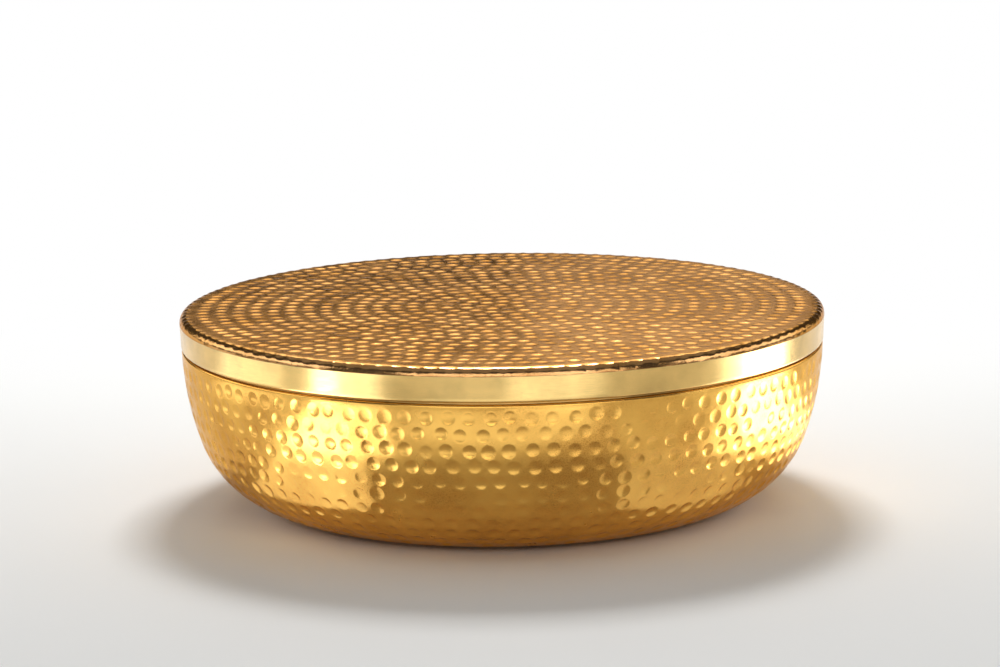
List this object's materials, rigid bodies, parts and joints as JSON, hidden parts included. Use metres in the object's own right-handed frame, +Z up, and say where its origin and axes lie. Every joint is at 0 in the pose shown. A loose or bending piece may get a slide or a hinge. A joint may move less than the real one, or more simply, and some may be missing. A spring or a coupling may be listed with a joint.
{
  "type": "lidded bowl",
  "caption": "Low, wide round bowl in hammered brass sheet with a flat lift-off lid, smooth lid band, inner locating collar and felt base pads.",
  "frame": {"origin": "on the floor at the middle of the base, the bottom centre of the bounding box", "axes": "+Z up along the bowl's axis, the way the lid lifts; +X to the right in the picture, +Y away from the viewer"},
  "size_m": [0.7999, 0.8, 0.2435],
  "materials": {
    "hammered_brass": "hammered and polished",
    "hammered_lid_brass": "hammered, lightly toned",
    "smooth_brass": "smooth, fine scratches",
    "collar_brass": "satin",
    "steel_wire": "drawn wire",
    "board_plywood": "sanded plywood",
    "rest_rubber": "matt",
    "base_felt": "pressed felt"
  },
  "bodies": {
    "bowl": {"bowl_shell": "hammered_brass", "rim_wire": "steel_wire", "locating_collar": "collar_brass", "rest_pad_1": "rest_rubber", "rest_pad_2": "rest_rubber", "rest_pad_3": "rest_rubber", "rest_pad_4": "rest_rubber", "rest_pad_5": "rest_rubber", "rest_pad_6": "rest_rubber", "base_pad_1": "base_felt", "base_pad_2": "base_felt", "base_pad_3": "base_felt", "base_pad_4": "base_felt"},
    "lid": {"lid_top": "hammered_lid_brass", "lid_band": "smooth_brass", "hem_wire": "steel_wire", "lid_board": "board_plywood"}
  },
  "joints": [
    {"name": "lid_lift", "type": "slide", "parent": "bowl", "child": "lid", "axis": [0, 0, 1], "range_m": [0, 0.4]}
  ]
}
